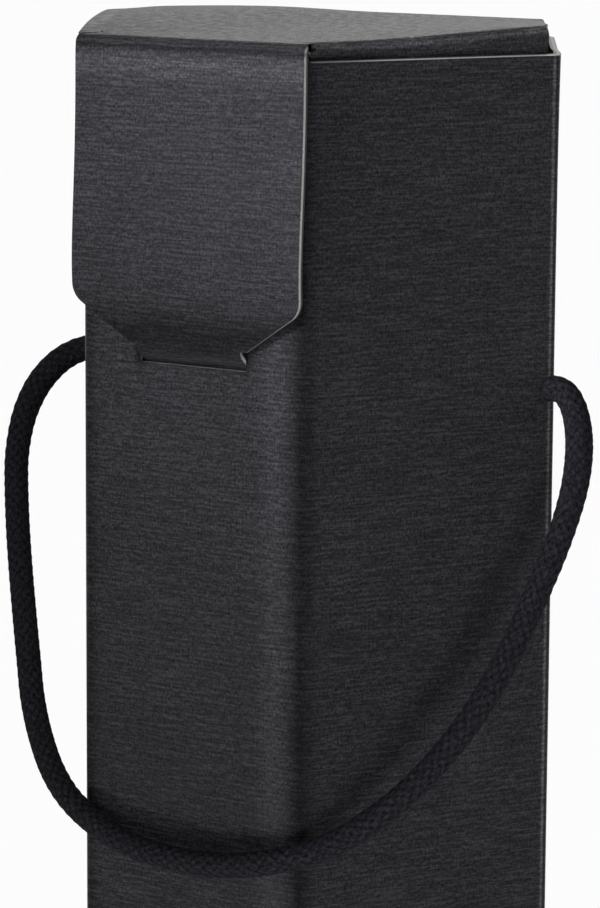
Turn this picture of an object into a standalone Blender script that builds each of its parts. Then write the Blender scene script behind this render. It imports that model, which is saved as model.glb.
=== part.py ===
"""Bottle gift box: a folding carton with six side panels, a hinged lid that locks with a tongue,
a fold-up base, and a cord handle that hangs from two holes at the side corners.

Metres, +Z up. The origin is the middle of the base, and the front panel faces -Y.
Every panel is a piece of board of one thickness. It ends half a crease gap short of its neighbour,
and where two panels meet at an angle the bend belongs to the panel that folds.
"""
import math

import bmesh
import bpy
from mathutils import Matrix, Vector

# Board and creases
board = 0.0015
crease_gap = 0.0003
crease_radius = 0.0006
facet_angle = math.radians(15)
cut_overrun = 0.002

# Sleeve: front and back panels are narrower than the four side panels
front_width = 0.052
side_width = 0.056
wall_height = 0.350
corner_turn = math.radians(60)

# Glue flap inside the back panel
glue_width = 0.014
glue_end_margin = 0.008
glue_taper = math.radians(30)

# Lid, which stands above the cut edges of the side panels
lid_rise = 0.0034
lid_fit = 0.0008
hinge_relief = 0.002

# Front flap and its tongue
flap_stand_off = 0.0005
flap_overhang = 0.0006
flap_length = 0.0580
flap_shoulder = 0.0494
flap_corner_radius = 0.0045
flap_root_width = 0.0272
flap_side_return = 0.0044
tongue_width = 0.0245
tongue_length = 0.0130
tongue_corner_radius = 0.004
tongue_turn = math.radians(50)
slot_clearance = 0.0003
slot_head_room = 0.0008
slot_corner_radius = 0.0007

# Dust flaps that hang from the lid inside the side panels
lid_dust_depth = 0.0115
lid_dust_front_margin = 0.0007
lid_dust_back_margin = 0.001
lid_dust_turn = math.radians(98)
lid_dust_taper = 0.0035
lid_dust_corner_radius = 0.002

# Base, its tuck flap and its two dust flaps
base_fit = 0.0005
tuck_length = 0.0145
tuck_turn = math.radians(100)
tuck_corner_radius = 0.006
base_dust_depth = 0.030
base_dust_margin = 0.0035
base_dust_front_taper = 0.010
base_dust_back_taper = 0.007
base_dust_corner_radius = 0.004

# Cord handle, its holes and its knots
cord_radius = 0.0025
hole_clearance = 0.0004
hole_drop = 0.0665
loop_drop = 0.1075
loop_lean_gap = 0.0006
knot_core_radius = 0.0036
knot_turns = 3
knot_tail = 0.008
seat_gap = 0.0003
route_steps = 2

# Where the loop runs, from the left hole to the right one: sideways from the middle as a share of
# the distance to a hole, and down the leaning plane as a share of the loop's drop
loop_route_shares = [
    (-1.010, 0.000), (-1.080, 0.008), (-1.160, 0.024), (-1.226, 0.052), (-1.275, 0.095),
    (-1.296, 0.144), (-1.294, 0.195), (-1.270, 0.256), (-1.228, 0.316), (-1.159, 0.400),
    (-1.080, 0.488), (-0.996, 0.577), (-0.911, 0.665), (-0.837, 0.740), (-0.750, 0.809),
    (-0.644, 0.874), (-0.519, 0.925), (-0.352, 0.966), (-0.157, 0.992), (0.056, 1.000),
    (0.259, 0.992), (0.444, 0.967), (0.620, 0.926), (0.769, 0.865), (0.898, 0.789),
    (1.000, 0.702), (1.070, 0.619), (1.122, 0.526), (1.159, 0.423), (1.189, 0.321),
    (1.200, 0.233), (1.193, 0.165), (1.165, 0.100), (1.118, 0.046), (1.062, 0.011),
    (1.008, 0.000)]
loop_touch_share = 0.94

# Colours and finishes
board_black = (0.035, 0.034, 0.037, 1.0)
cord_black = (0.008, 0.008, 0.010, 1.0)
board_roughness = 0.5
cord_roughness = 0.95

# Sizes that follow from the ones above
bend_radius = crease_radius + board
half_front = front_width / 2
half_width = half_front + side_width * math.cos(corner_turn)
half_depth = side_width * math.sin(corner_turn)
side_apothem = half_width * math.sin(corner_turn)
lid_top = wall_height + lid_rise
lid_pivot_z = lid_top - bend_radius
flap_face = half_depth + flap_stand_off + board
flap_half_width = half_front + flap_overhang
hinge_half_width = half_front - hinge_relief
lid_edge = side_apothem - board - lid_fit
lid_dust_crease = lid_edge - bend_radius
dust_underside = board + crease_gap
tuck_face = half_depth - board - base_fit
hole_radius = cord_radius + hole_clearance
hole_z = wall_height - hole_drop

X = Vector((1, 0, 0))
Y = Vector((0, 1, 0))
Z = Vector((0, 0, 1))


def clear_scene():
    for item in list(bpy.data.objects):
        bpy.data.objects.remove(item, do_unlink=True)


def new_collection(name):
    group = bpy.data.collections.new(name)
    bpy.context.scene.collection.children.link(group)
    return group


def finish(name, colour, roughness):
    """A plain dielectric finish of one colour."""
    material = bpy.data.materials.new(name)
    material.use_nodes = True
    shader = material.node_tree.nodes["Principled BSDF"]
    shader.inputs["Base Color"].default_value = colour
    shader.inputs["Roughness"].default_value = roughness
    shader.inputs["Metallic"].default_value = 0
    return material


def bend_arc(radius, turn):
    """Points round a bend of the board: (distance past the flat part, height over the bend's centre).
    The last point lies half a crease gap short of the bend's end."""
    last = turn - math.asin(crease_gap / 2 / radius)
    steps = max(1, round(last / facet_angle))
    angles = [last * step / steps for step in range(steps + 1)]
    return [(radius * math.sin(angle), radius * math.cos(angle)) for angle in angles]


def board_end(turn):
    """Outline of one end of a panel's section, from its outer face round to its inner face."""
    if turn == 0:
        return [(-crease_gap / 2, 0), (-crease_gap / 2, -board)]
    outer = [(past, height - bend_radius) for past, height in bend_arc(bend_radius, turn)]
    inner = [(past, height - bend_radius) for past, height in bend_arc(crease_radius, turn)]
    return outer + inner[::-1]


def board_section(length, start_turn=0, end_turn=0):
    """Section across a panel's creases: its outer face lies at height 0, from 0 to length,
    and each end bends away from that face through its turn."""
    end = [(length + past, height) for past, height in board_end(end_turn)]
    start = [(-past, height) for past, height in board_end(start_turn)]
    return end + start[::-1]


def rounded_outline(corners):
    """A closed outline from (x, y, radius) corners, with an arc at each corner that has a radius."""
    points = []
    for index, (x, y, radius) in enumerate(corners):
        here = Vector((x, y))
        if radius == 0:
            points.append((x, y))
            continue
        before = (Vector(corners[index - 1][:2]) - here).normalized()
        after = (Vector(corners[(index + 1) % len(corners)][:2]) - here).normalized()
        half_angle = before.angle(after) / 2
        centre = here + (before + after).normalized() * radius / math.sin(half_angle)
        first = here + before * radius / math.tan(half_angle) - centre
        turn = math.pi - 2 * half_angle
        side = 1 if before.cross(after) < 0 else -1
        steps = max(1, round(turn / facet_angle))
        for step in range(steps + 1):
            spun = Matrix.Rotation(side * turn * step / steps, 2) @ first
            points.append(tuple(centre + spun))
    return points


def frame_matrix(origin, along, outward):
    """Places local X along a panel, local Y out of its face and local Z along its creases."""
    across = along.cross(outward)
    matrix = Matrix((along, outward, across)).transposed().to_4x4()
    matrix.translation = origin
    return matrix


def after_bend(crease, along, outward, turn):
    """Frame of the panel that a bend leads to: the bend starts at the crease, on the outer face
    of the panel before it, and the new frame starts where the bend ends."""
    centre = crease - outward * bend_radius
    new_outward = outward * math.cos(turn) + along * math.sin(turn)
    new_along = along * math.cos(turn) - outward * math.sin(turn)
    return centre + new_outward * bend_radius, new_along, new_outward


def prism(name, outline, depth, matrix, group):
    """A flat outline in the matrix's XY plane, given a depth centred on that plane."""
    curve = bpy.data.curves.new(name, "CURVE")
    curve.dimensions = "2D"
    curve.fill_mode = "BOTH"
    curve.extrude = depth / 2
    spline = curve.splines.new("POLY")
    spline.points.add(len(outline) - 1)
    for point, (x, y) in zip(spline.points, outline):
        point.co = (x, y, 0, 1)
    spline.use_cyclic_u = True
    flat = bpy.data.objects.new(name + "_outline", curve)
    group.objects.link(flat)
    flat.matrix_world = matrix
    return curve_to_solid(flat, name, group)


def curve_to_solid(curve_object, name, group):
    """Turns a curve object into a closed mesh object with the same place, and removes the curve."""
    bpy.context.view_layer.update()
    graph = bpy.context.evaluated_depsgraph_get()
    mesh = bpy.data.meshes.new_from_object(curve_object.evaluated_get(graph))
    shell = bmesh.new()
    shell.from_mesh(mesh)
    bmesh.ops.remove_doubles(shell, verts=shell.verts, dist=crease_gap / 10)
    bmesh.ops.recalc_face_normals(shell, faces=shell.faces)
    shell.to_mesh(mesh)
    shell.free()
    solid = bpy.data.objects.new(name, mesh)
    group.objects.link(solid)
    solid.matrix_world = curve_object.matrix_world
    bpy.data.objects.remove(curve_object, do_unlink=True)
    return solid


def cutter(name, outline, depth, matrix):
    tool = prism(name, outline, depth, matrix, cutters)
    tool.hide_render = True
    tool.display_type = "WIRE"
    return tool


def cut(panel, tool, operation="DIFFERENCE"):
    modifier = panel.modifiers.new(tool.name, "BOOLEAN")
    modifier.operation = operation
    modifier.solver = "EXACT"
    modifier.object = tool


def axis_empty(name, place, parent=None):
    """An empty on a crease or hinge line. What it carries is parented to it."""
    empty = bpy.data.objects.new(name, None)
    parts.objects.link(empty)
    empty.matrix_world = Matrix.Translation(place)
    if parent:
        bpy.context.view_layer.update()
        empty.parent = parent
        empty.matrix_parent_inverse = parent.matrix_world.inverted()
    return empty


def carry(piece, parent):
    bpy.context.view_layer.update()
    piece.parent = parent
    piece.matrix_parent_inverse = parent.matrix_world.inverted()


def dress(piece, colour, roughness):
    piece.data.materials.clear()
    piece.data.materials.append(finish(piece.name + "_finish", colour, roughness))


def mirrored(outline):
    """The outline's other half added, mirrored in X and read backwards."""
    return outline + [(-x, y) for x, y in reversed(outline)]


def die_cut_flap(name, outline, turn, origin, along, outward, across=X):
    """A flap that starts with a bend and is cut to its outline, which is drawn along and across it."""
    width = 2 * max(abs(point[1]) for point in outline) + 2 * cut_overrun
    length = max(point[0] for point in outline) + cut_overrun
    section = board_section(length, turn)
    flap = prism(name, section, width, frame_matrix(origin, along, outward), parts)
    depth = 2 * (board + bend_radius)
    die = cutter(name + "_die", outline, depth, frame_matrix(origin, along, across))
    cut(flap, die, "INTERSECT")
    dress(flap, board_black, board_roughness)
    return flap


# Six wall panels
def wall(name, start, end, low, high):
    """A wall panel between two corners in plan, anticlockwise seen from above."""
    start = Vector((*start, 0))
    along = (Vector((*end, 0)) - start).normalized()
    outward = along.cross(Z)
    length = (Vector((*end, 0)) - start).length
    tangent = bend_radius * math.tan(corner_turn / 2)
    flat = length - 2 * tangent
    section = board_section(flat, corner_turn / 2, corner_turn / 2)
    origin = start + along * tangent + Z * (low + high) / 2
    piece = prism(name, section, high - low, frame_matrix(origin, along, outward), parts)
    dress(piece, board_black, board_roughness)
    return piece


def build_walls():
    corners = {
        "A": (-half_front, -half_depth), "B": (half_front, -half_depth), "C": (half_width, 0),
        "D": (half_front, half_depth), "E": (-half_front, half_depth), "F": (-half_width, 0)}
    dust_crease = dust_underside + bend_radius + crease_gap / 2
    front_top = lid_top - board - crease_gap
    back_top = lid_pivot_z - crease_gap / 2
    back_low = bend_radius + crease_gap / 2
    walls = {
        "front": wall("front_wall", corners["A"], corners["B"], 0, front_top),
        "front_right": wall("front_right_wall", corners["B"], corners["C"], dust_crease, wall_height),
        "back_right": wall("back_right_wall", corners["C"], corners["D"], 0, wall_height),
        "back": wall("back_wall", corners["D"], corners["E"], back_low, back_top),
        "back_left": wall("back_left_wall", corners["E"], corners["F"], 0, wall_height),
        "front_left": wall("front_left_wall", corners["F"], corners["A"], dust_crease, wall_height)}
    cut_cord_holes(walls)
    cut_tongue_slot(walls["front"])
    return walls


def cut_cord_holes(walls):
    """One round punch along X goes through both side corners, where two panels meet."""
    circle = [
        (hole_radius * math.cos(angle), hole_radius * math.sin(angle))
        for angle in (math.radians(15) * step for step in range(24))]
    matrix = frame_matrix(Z * hole_z, Y, Z)
    punch = cutter("cord_hole_punch", circle, 2 * (half_width + cut_overrun), matrix)
    for name in ("front_right", "back_right", "back_left", "front_left"):
        cut(walls[name], punch)


def cut_tongue_slot(front_wall):
    """The slot is as tall as the sloping tongue needs to draw out of it along its own length."""
    slope = math.tan(tongue_turn)
    crease_z = lid_pivot_z - flap_length
    outer_y = -flap_face + bend_radius * (1 - math.cos(tongue_turn))
    outer_z = crease_z - bend_radius * math.sin(tongue_turn)
    inner_y = -flap_face + bend_radius - crease_radius * math.cos(tongue_turn)
    inner_z = crease_z - crease_radius * math.sin(tongue_turn)
    low = outer_z - (-half_depth + board - outer_y) / slope - slot_clearance
    high = inner_z - (-half_depth - inner_y) / slope + slot_head_room
    half = tongue_width / 2 + slot_clearance
    radius = slot_corner_radius
    outline = rounded_outline([
        (half, low, radius), (half, high, radius), (-half, high, radius), (-half, low, radius)])
    matrix = frame_matrix(Y * (board / 2 - half_depth), X, Z)
    cut(front_wall, cutter("tongue_slot_punch", outline, board + 2 * cut_overrun, matrix))


def build_glue_flap():
    """A strip on the inside of the back panel, next to its left corner."""
    face = half_depth - board - crease_gap
    inner_apothem = side_apothem - board - crease_gap
    left = -(inner_apothem - face * math.cos(corner_turn)) / math.sin(corner_turn)
    right = left + glue_width
    low = glue_end_margin
    high = wall_height - glue_end_margin
    slant = glue_width * math.tan(glue_taper)
    outline = [(left, low), (right, low + slant), (right, high - slant), (left, high)]
    matrix = frame_matrix(Y * (face - board / 2), X, Z)
    piece = prism("glue_flap", outline, board, matrix, parts)
    dress(piece, board_black, board_roughness)


# Lid
def lid_plan_side():
    """Right half of the lid's plan, from the front flap round to the back hinge."""
    sine = math.sin(corner_turn)
    cosine = math.cos(corner_turn)
    crease = lid_dust_crease - crease_gap / 2
    shoulder_y = -flap_face + flap_side_return
    shoulder_x = (crease + shoulder_y * cosine) / sine
    corner_x = (crease + lid_edge) / 2 / sine
    corner_y = (lid_edge - crease) / 2 / cosine
    relief_y = half_depth - bend_radius - hinge_relief
    relief_x = min((lid_edge - relief_y * cosine) / sine, hinge_half_width + hinge_relief)
    return [
        (flap_half_width, -flap_face - cut_overrun), (flap_half_width, shoulder_y),
        (shoulder_x, shoulder_y), (corner_x, corner_y), (relief_x, relief_y),
        (hinge_half_width, relief_y), (hinge_half_width, half_depth + cut_overrun)]


def build_lid():
    pivot = Vector((0, half_depth, lid_pivot_z))
    hinge = axis_empty("lid_hinge_line", pivot)
    origin, along, outward = after_bend(pivot, Z, Y, math.pi / 2)
    flat = half_depth + flap_face - 2 * bend_radius
    section = board_section(flat, math.pi / 2, math.pi / 2)
    panel = prism("lid_panel", section, 2 * half_width, frame_matrix(origin, along, outward), parts)
    plan = cutter(
        "lid_die", mirrored(lid_plan_side()), 2 * (lid_rise + cut_overrun + bend_radius),
        frame_matrix(Z * lid_top, X, Y))
    cut(panel, plan, "INTERSECT")
    dress(panel, board_black, board_roughness)
    carry(panel, hinge)
    build_front_flap(hinge)
    for side, name in ((-1, "left"), (1, "right")):
        build_lid_dust_flap(side, name, hinge)


def build_front_flap(lid_hinge):
    """The flap hangs outside the front panel. Its lower corners are rounded and run in to the
    tongue, which bends through the slot and slopes down inside."""
    fold = Vector((0, -flap_face, lid_pivot_z))
    fold_line = axis_empty("front_flap_fold_line", fold, lid_hinge)
    outline = mirrored(rounded_outline([
        (flap_half_width, -crease_gap / 2, 0),
        (flap_half_width, -flap_shoulder, flap_corner_radius),
        (flap_root_width / 2, -flap_length + crease_gap / 2, 0)]))
    middle = fold + Y * board / 2
    flap = prism("front_flap", outline, board, frame_matrix(middle, X, Z), parts)
    dress(flap, board_black, board_roughness)
    carry(flap, fold_line)

    crease = fold - Z * flap_length
    crease_line = axis_empty("tongue_fold_line", crease, fold_line)
    origin, along, outward = after_bend(crease, -Z, -Y, tongue_turn)
    half = tongue_width / 2
    outline = rounded_outline([
        (-2 * bend_radius, half, 0), (-2 * bend_radius, -half, 0),
        (tongue_length, -half, tongue_corner_radius), (tongue_length, half, tongue_corner_radius)])
    tongue = die_cut_flap("tuck_tongue", outline, tongue_turn, origin, along, outward)
    carry(tongue, crease_line)


def side_frame(side, apothem, height):
    """Place and directions of a crease along a front side panel: its middle, the way outwards,
    and the way from the front corner back to the side corner."""
    outward = Vector((side * math.sin(corner_turn), -math.cos(corner_turn), 0))
    backward = Vector((side * math.cos(corner_turn), math.sin(corner_turn), 0))
    return outward * apothem + Z * height, outward, backward


def build_lid_dust_flap(side, name, lid_hinge):
    crease, sideways, backward = side_frame(side, lid_dust_crease, lid_top)
    crease_line = axis_empty("lid_dust_" + name + "_fold_line", crease, lid_hinge)
    origin, along, outward = after_bend(crease, sideways, Z, lid_dust_turn)
    plan = [Vector(point) for point in lid_plan_side()]
    flat_backward = Vector((math.cos(corner_turn), math.sin(corner_turn)))
    front_end = (plan[1].y + lid_edge * math.cos(corner_turn)) / math.sin(corner_turn)
    front_end += lid_dust_front_margin
    back_end = plan[3].dot(flat_backward) - lid_dust_back_margin
    radius = lid_dust_corner_radius
    outline = rounded_outline([
        (-2 * bend_radius, front_end, 0), (-2 * bend_radius, back_end, 0),
        (lid_dust_depth, back_end, radius), (lid_dust_depth, front_end + lid_dust_taper, radius),
        (0, front_end, 0)])
    flap = die_cut_flap("lid_dust_" + name, outline, lid_dust_turn, origin, along, outward, backward)
    carry(flap, crease_line)


# Base
def base_plan_side():
    """Right half of the base's plan, from its tuck flap round to the back hinge."""
    edge = side_apothem - board - base_fit
    sine = math.sin(corner_turn)
    cosine = math.cos(corner_turn)
    front_y = -tuck_face - cut_overrun
    front_fold = -tuck_face + bend_radius + hinge_relief
    fold_x = (edge + front_fold * cosine) / sine
    relief_y = half_depth - bend_radius - hinge_relief
    relief_x = min((edge - relief_y * cosine) / sine, hinge_half_width + hinge_relief)
    return [
        (hinge_half_width - hinge_relief, front_y), (hinge_half_width - hinge_relief, front_fold),
        (fold_x, front_fold), (edge / sine, 0), (relief_x, relief_y),
        (hinge_half_width, relief_y), (hinge_half_width, half_depth + cut_overrun)]


def build_base():
    pivot = Vector((0, half_depth, bend_radius))
    hinge = axis_empty("base_hinge_line", pivot)
    origin, along, outward = after_bend(pivot, -Z, Y, math.pi / 2)
    flat = half_depth - bend_radius + tuck_face - bend_radius
    section = board_section(flat, math.pi / 2, tuck_turn)
    panel = prism("base_panel", section, 2 * half_width, frame_matrix(origin, along, outward), parts)
    plan = cutter(
        "base_die", mirrored(base_plan_side()), 2 * (2 * bend_radius + cut_overrun),
        frame_matrix(Vector(), X, Y))
    cut(panel, plan, "INTERSECT")
    dress(panel, board_black, board_roughness)
    carry(panel, hinge)
    build_base_tuck(hinge, origin + along * flat, along, outward)
    for side, name in ((-1, "left"), (1, "right")):
        build_base_dust_flap(side, name)


def build_base_tuck(base_hinge, tangent, along, outward):
    """The tuck flap stands up behind the front panel, leaning inwards a little."""
    fold, up, outward = after_bend(tangent, along, outward, tuck_turn)
    fold_line = axis_empty("base_tuck_fold_line", fold, base_hinge)
    half = hinge_half_width - hinge_relief
    tip = tuck_length
    outline = mirrored(rounded_outline([
        (half, crease_gap / 2, 0), (half, tip, tuck_corner_radius), (0, tip, 0)])[:-1])
    matrix = frame_matrix(fold - outward * board / 2, X, up)
    tuck = prism("base_tuck", outline, board, matrix, parts)
    dress(tuck, board_black, board_roughness)
    carry(tuck, fold_line)


def build_base_dust_flap(side, name):
    """A dust flap folds in from the foot of a front side panel and lies on the base."""
    crease, sideways, backward = side_frame(side, side_apothem, dust_underside + bend_radius)
    crease_line = axis_empty("base_dust_" + name + "_fold_line", crease)
    origin, along, outward = after_bend(crease, -Z, sideways, math.pi / 2)
    corner_front = -half_depth * math.sin(corner_turn) + half_front * math.cos(corner_turn)
    corner_back = half_width * math.cos(corner_turn)
    front_end = corner_front + base_dust_margin
    back_end = corner_back - base_dust_margin
    radius = base_dust_corner_radius
    outline = rounded_outline([
        (-2 * bend_radius, front_end, 0), (-2 * bend_radius, back_end, 0), (0, back_end, 0),
        (base_dust_depth, back_end - base_dust_back_taper, radius),
        (base_dust_depth, front_end + base_dust_front_taper, radius), (0, front_end, 0)])
    flap = die_cut_flap("base_dust_" + name, outline, math.pi / 2, origin, along, outward, backward)
    carry(flap, crease_line)


# Cord handle
def smooth_curve(points, steps):
    """A smooth curve through the points, with steps stretches between one point and the next."""
    ends = [2 * points[0] - points[1]] + points + [2 * points[-1] - points[-2]]
    curve = [points[0]]
    for before, start, end, after in zip(ends, ends[1:], ends[2:], ends[3:]):
        for step in range(1, steps + 1):
            t = step / steps
            curve.append(
                (2 * start + (end - before) * t + (2 * before - 5 * start + 4 * end - after) * t ** 2
                 + (3 * (start - end) + after - before) * t ** 3) / 2)
    return curve


def knot_seat():
    """Distance from the middle to the last turn of a knot that sits in the corner of two panels."""
    reach = knot_core_radius * math.cos(corner_turn) + cord_radius + seat_gap
    return (side_apothem - board - reach) / math.sin(corner_turn)


def build_cord(swing):
    lean = math.asin((half_depth + cord_radius + loop_lean_gap) / (loop_touch_share * loop_drop))
    down = -Z * math.cos(lean) - Y * math.sin(lean)
    hole = Z * hole_z
    route = [
        hole + X * sideways * half_width + down * drop * loop_drop
        for sideways, drop in loop_route_shares]
    inner_end = X * (knot_seat() + cord_radius + seat_gap)
    points = [hole - inner_end] + smooth_curve(route, route_steps) + [hole + inner_end]
    curve = bpy.data.curves.new("handle_cord", "CURVE")
    curve.dimensions = "3D"
    curve.bevel_depth = cord_radius
    curve.bevel_resolution = 3
    curve.use_fill_caps = True
    spline = curve.splines.new("POLY")
    spline.points.add(len(points) - 1)
    for control, place in zip(spline.points, points):
        control.co = (*place, 1)
    cord = bpy.data.objects.new("handle_cord", curve)
    parts.objects.link(cord)
    dress(cord, cord_black, cord_roughness)
    carry(cord, swing)


def knot_profile():
    """Half outline of a stopper knot: round turns of cord side by side, and a short tail."""
    profile = []
    for turn in range(knot_turns):
        centre = -turn * cord_radius * 2
        for step in range(7):
            angle = math.pi / 6 * step
            reach = knot_core_radius + cord_radius * math.sin(angle)
            profile.append((reach, centre + cord_radius * math.cos(angle)))
    foot = -(knot_turns * 2 - 1) * cord_radius
    kept = [point for index, point in enumerate(profile) if index % 7 or index == 0]
    return [(0, cord_radius)] + kept + [
        (cord_radius, foot), (cord_radius, foot - knot_tail), (0, foot - knot_tail)]


def build_knot(side, name, swing):
    mesh = bpy.data.meshes.new("cord_knot_" + name)
    outline = bmesh.new()
    ring = [outline.verts.new((radius, 0, height)) for radius, height in knot_profile()]
    for first, second in zip(ring, ring[1:]):
        outline.edges.new((first, second))
    outline.to_mesh(mesh)
    outline.free()
    knot = bpy.data.objects.new("cord_knot_" + name, mesh)
    parts.objects.link(knot)
    turned = knot.modifiers.new("turned", "SCREW")
    turned.steps = 16
    turned.render_steps = 16
    turned.use_merge_vertices = True
    turned.merge_threshold = crease_gap / 10
    knot.location = Vector((side * knot_seat(), 0, hole_z))
    knot.rotation_euler = (0, side * math.pi / 2, 0)
    dress(knot, cord_black, cord_roughness)
    carry(knot, swing)


clear_scene()
parts = new_collection("bottle_gift_box")
cutters = new_collection("cutters")
build_walls()
build_glue_flap()
build_lid()
build_base()
handle_swing = axis_empty("handle_swing_line", Z * hole_z)
build_cord(handle_swing)
build_knot(-1, "left", handle_swing)
build_knot(1, "right", handle_swing)
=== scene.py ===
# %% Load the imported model
import math

import bpy
import numpy as np
from mathutils import Matrix, Vector


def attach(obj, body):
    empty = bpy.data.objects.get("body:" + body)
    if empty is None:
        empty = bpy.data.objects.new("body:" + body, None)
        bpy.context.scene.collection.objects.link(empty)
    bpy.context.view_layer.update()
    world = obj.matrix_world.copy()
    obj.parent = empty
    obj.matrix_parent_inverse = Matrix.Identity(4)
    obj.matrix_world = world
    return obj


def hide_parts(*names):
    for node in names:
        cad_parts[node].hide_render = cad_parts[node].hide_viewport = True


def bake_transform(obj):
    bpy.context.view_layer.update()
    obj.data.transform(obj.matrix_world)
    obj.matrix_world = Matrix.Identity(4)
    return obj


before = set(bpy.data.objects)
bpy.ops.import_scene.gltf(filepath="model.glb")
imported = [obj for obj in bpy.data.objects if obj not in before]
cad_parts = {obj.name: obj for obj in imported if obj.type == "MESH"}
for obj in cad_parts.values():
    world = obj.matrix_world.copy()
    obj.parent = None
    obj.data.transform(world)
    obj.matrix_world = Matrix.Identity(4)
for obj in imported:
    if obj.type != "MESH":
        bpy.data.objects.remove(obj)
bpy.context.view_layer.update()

mm = 0.001

# %% [markdown]
# A photograph is matched first by its camera. The box fills the picture, its foot is below the
# picture's edge, and its upright edges lean together only a little, so the camera stood about 80 cm
# away with a long lens, turned 32 degrees round the box and looking down 10 degrees. The lens is
# given by the picture's height, which is how the focal length was measured.

# %% Camera
camera_place = Vector((0.4304, -0.6853, 0.4043))
camera_yaw = math.radians(32.48)
camera_pitch = math.radians(9.77)
camera_roll = math.radians(0.34)
picture_height_px = 908
focal_px = 3963.0

camera_data = bpy.data.cameras.new("camera")
camera_data.sensor_fit = "VERTICAL"
camera_data.sensor_height = 24
camera_data.lens = focal_px * camera_data.sensor_height / picture_height_px
camera_data.clip_end = 50
camera = bpy.data.objects.new("camera", camera_data)
bpy.context.scene.collection.objects.link(camera)
ahead = Vector((
    -math.sin(camera_yaw) * math.cos(camera_pitch), math.cos(camera_yaw) * math.cos(camera_pitch),
    -math.sin(camera_pitch)))
level_right = Vector((math.cos(camera_yaw), math.sin(camera_yaw), 0))
level_up = level_right.cross(ahead)
right = level_right * math.cos(camera_roll) + level_up * math.sin(camera_roll)
up = level_up * math.cos(camera_roll) - level_right * math.sin(camera_roll)
camera_turn = Matrix((right, up, -ahead)).transposed().to_4x4()
camera.matrix_world = Matrix.Translation(camera_place) @ camera_turn
bpy.context.scene.camera = camera
print("lens", round(camera_data.lens, 2), "mm")

# %% [markdown]
# The box is one sheet of board, cut and creased. Its sizes are the CAD model's, in metres: the
# outer faces of the six side panels make a hexagon, and every crease is a round bend whose outside
# radius is the board's thickness plus a small inner radius.

# %% Sizes of the board and of the folded box
board = 1.5 * mm
bend = 2.1 * mm
front_width = 52 * mm
side_width = 56 * mm
hexagon_turn = math.radians(60)
cosine, sine = math.cos(hexagon_turn), math.sin(hexagon_turn)
half_front = front_width / 2
half_width = half_front + side_width * cosine
half_depth = side_width * sine
side_apothem = half_width * sine
wall_top = 350 * mm
lid_top = 353.4 * mm
lid_pivot = lid_top - bend
hinge_half_width = 24 * mm
hole_z = 283.5 * mm
margin = 0.5 * mm


# %% Grid helpers
def spaced(start, end, step, extra=()):
    """Numbers from start to end about one step apart, with the extra ones between them added."""
    count = max(1, int(round((end - start) / step)))
    inside = [value for value in extra if start < value < end]
    return np.unique(np.round(np.concatenate([np.linspace(start, end, count + 1), inside]), 7))


def thinned(values, least):
    """The values that lie more than the least step above the one before."""
    return values[np.concatenate([[True], np.diff(values) > least])]


def grid_cells(rows, columns):
    """The four corners of each cell in a grid of points that is numbered row by row."""
    row, column = np.meshgrid(np.arange(rows - 1), np.arange(columns - 1), indexing="ij")
    corner = (row * columns + column).ravel()
    return np.stack([corner, corner + 1, corner + columns + 1, corner + columns], axis=1)


bend_steps = 48


def folded_path(start, heading, runs):
    """Section line of a folded board's outer face, in a plane.
    On a run of length l the point moves by l along the heading h. On a bend of angle T it is
    centre + bend * (n cos f + h sin f) for f from 0 to T, where n is h turned right by 90 degrees.
    Returns the flat distance, the point and the normal at each station, and where the bends lie."""
    here, ahead = np.array(start, float), np.array(heading, float)
    distance = 0.0
    rows, bends = [], []
    for length, turn in runs:
        outward = np.array([ahead[1], -ahead[0]])
        rows.append([distance, *here, *outward])
        here = here + ahead * length
        distance += length
        rows.append([distance, *here, *outward])
        if turn:
            angles = np.linspace(0, turn, bend_steps + 1)[:, None]
            centre = here - outward * bend
            normals = outward * np.cos(angles) + ahead * np.sin(angles)
            points = centre + bend * normals
            stations = distance + bend * angles
            rows.extend(np.hstack([stations, points, normals])[1:].tolist())
            bends.append((distance, distance + bend * turn))
            distance += bend * turn
            here = points[-1]
            ahead = np.array([-normals[-1][1], normals[-1][0]])
    return np.array(rows), bends


def pressed_lines(stations, marks):
    """Groove depth and tone at each station. A mark (place, reach, depth, tone), in millimetres,
    adds depth * g and tone * g, where g = exp(-((station - place) / reach)^2). A tone above zero is
    painted shade, one below zero is a painted highlight, in a few places also paper rubbed lighter."""
    groove, painted_tone = np.zeros_like(stations), np.zeros_like(stations)
    for place, reach, depth, shade in marks:
        near = np.exp(-((stations / mm - place) / reach) ** 2)
        groove = groove + depth * mm * near
        painted_tone = painted_tone + shade * near
    return groove, painted_tone


def marks_at(station, *marks):
    """Marks given by their offset from a station, in millimetres."""
    return [(station / mm + offset, *rest) for offset, *rest in marks]


def on_path(path, stations):
    """The point and unit normal at each station, read off the path's table."""
    table = [np.interp(stations, path[:, 0], path[:, column]) for column in range(1, 5)]
    length = np.hypot(table[2], table[3])
    return table[0], table[1], table[2] / length, table[3] / length


# %% Turn a grid into a piece of board
def new_piece(name, points, faces, *materials):
    """Smooth mesh object from lists of points and faces."""
    mesh = bpy.data.meshes.new(name)
    mesh.from_pydata(points, [], faces)
    mesh.polygons.foreach_set("use_smooth", np.ones(len(faces), bool))
    for material in materials:
        mesh.materials.append(material)
    piece = bpy.data.objects.new(name, mesh)
    bpy.context.scene.collection.objects.link(piece)
    print(name, "has", len(faces), "faces")
    return piece


def keep_point_value(mesh, name, values):
    """Keeps one number for each point of the mesh."""
    attribute = mesh.attributes.new(name, "FLOAT", "POINT")
    attribute.data.foreach_set("value", values.astype(np.float32))


def keep_sheet_places(mesh, places):
    """Keeps each face corner's place on the flat sheet, in metres."""
    mesh.uv_layers.new(name="sheet").data.foreach_set("uv", places.astype(np.float32).ravel())


sharp_angle = math.radians(50)


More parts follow.
